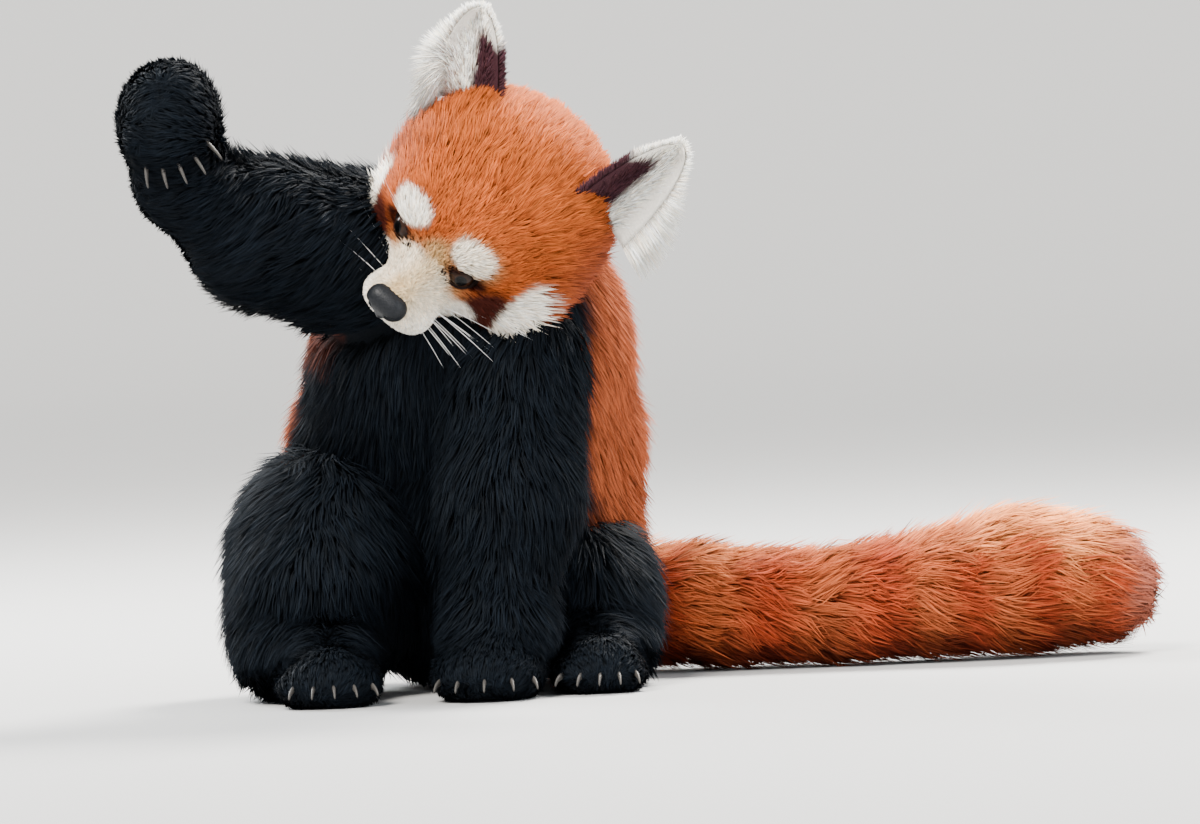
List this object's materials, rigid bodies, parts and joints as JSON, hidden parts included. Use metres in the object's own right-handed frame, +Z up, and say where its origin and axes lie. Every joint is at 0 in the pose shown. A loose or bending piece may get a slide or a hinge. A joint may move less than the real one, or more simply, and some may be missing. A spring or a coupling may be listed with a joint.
{
  "type": "red panda",
  "caption": "Life-size red panda as a still model, sitting on its rump with one foreleg planted and the other arm raised, its bushy tail laid along the floor.",
  "frame": {"origin": "the middle of the flat that the rump rests on, at floor level", "axes": "+Z up. The animal faces -Y. +X is to the animal's left, and the tail is laid along it"},
  "size_m": [0.6293, 0.3096, 0.4272],
  "materials": {
    "red_coat": "long fur, rust red",
    "tail_coat": "bushy fur, orange red with darker rings",
    "black_coat": "dense fur, near black",
    "white_coat": "short fur, cream white",
    "eye": "wet and glossy",
    "nose_skin": "moist bare skin",
    "claw": "horn"
  },
  "bodies": {
    "root": {"torso": "red_coat", "neck": "red_coat", "head": "red_coat", "tail_base": "tail_coat", "tail_middle": "tail_coat", "tail_tip": "tail_coat", "upper_arm_left": "black_coat", "upper_arm_right": "black_coat", "forearm_left": "black_coat", "forearm_right": "black_coat", "thigh_left": "black_coat", "thigh_right": "black_coat", "forepaw_left": "black_coat", "forepaw_right": "black_coat", "hindfoot_left": "black_coat", "hindfoot_right": "black_coat", "ear_left": "white_coat", "ear_right": "white_coat", "eye_left": "eye", "eye_right": "eye", "nose": "nose_skin", "claw_forepaw_left_1": "claw", "claw_forepaw_left_2": "claw", "claw_forepaw_left_3": "claw", "claw_forepaw_left_4": "claw", "claw_forepaw_left_5": "claw", "claw_forepaw_right_1": "claw", "claw_forepaw_right_2": "claw", "claw_forepaw_right_3": "claw", "claw_forepaw_right_4": "claw", "claw_forepaw_right_5": "claw", "claw_hindfoot_left_1": "claw", "claw_hindfoot_left_2": "claw", "claw_hindfoot_left_3": "claw", "claw_hindfoot_left_4": "claw", "claw_hindfoot_left_5": "claw", "claw_hindfoot_right_1": "claw", "claw_hindfoot_right_2": "claw", "claw_hindfoot_right_3": "claw", "claw_hindfoot_right_4": "claw", "claw_hindfoot_right_5": "claw"}
  },
  "joints": []
}
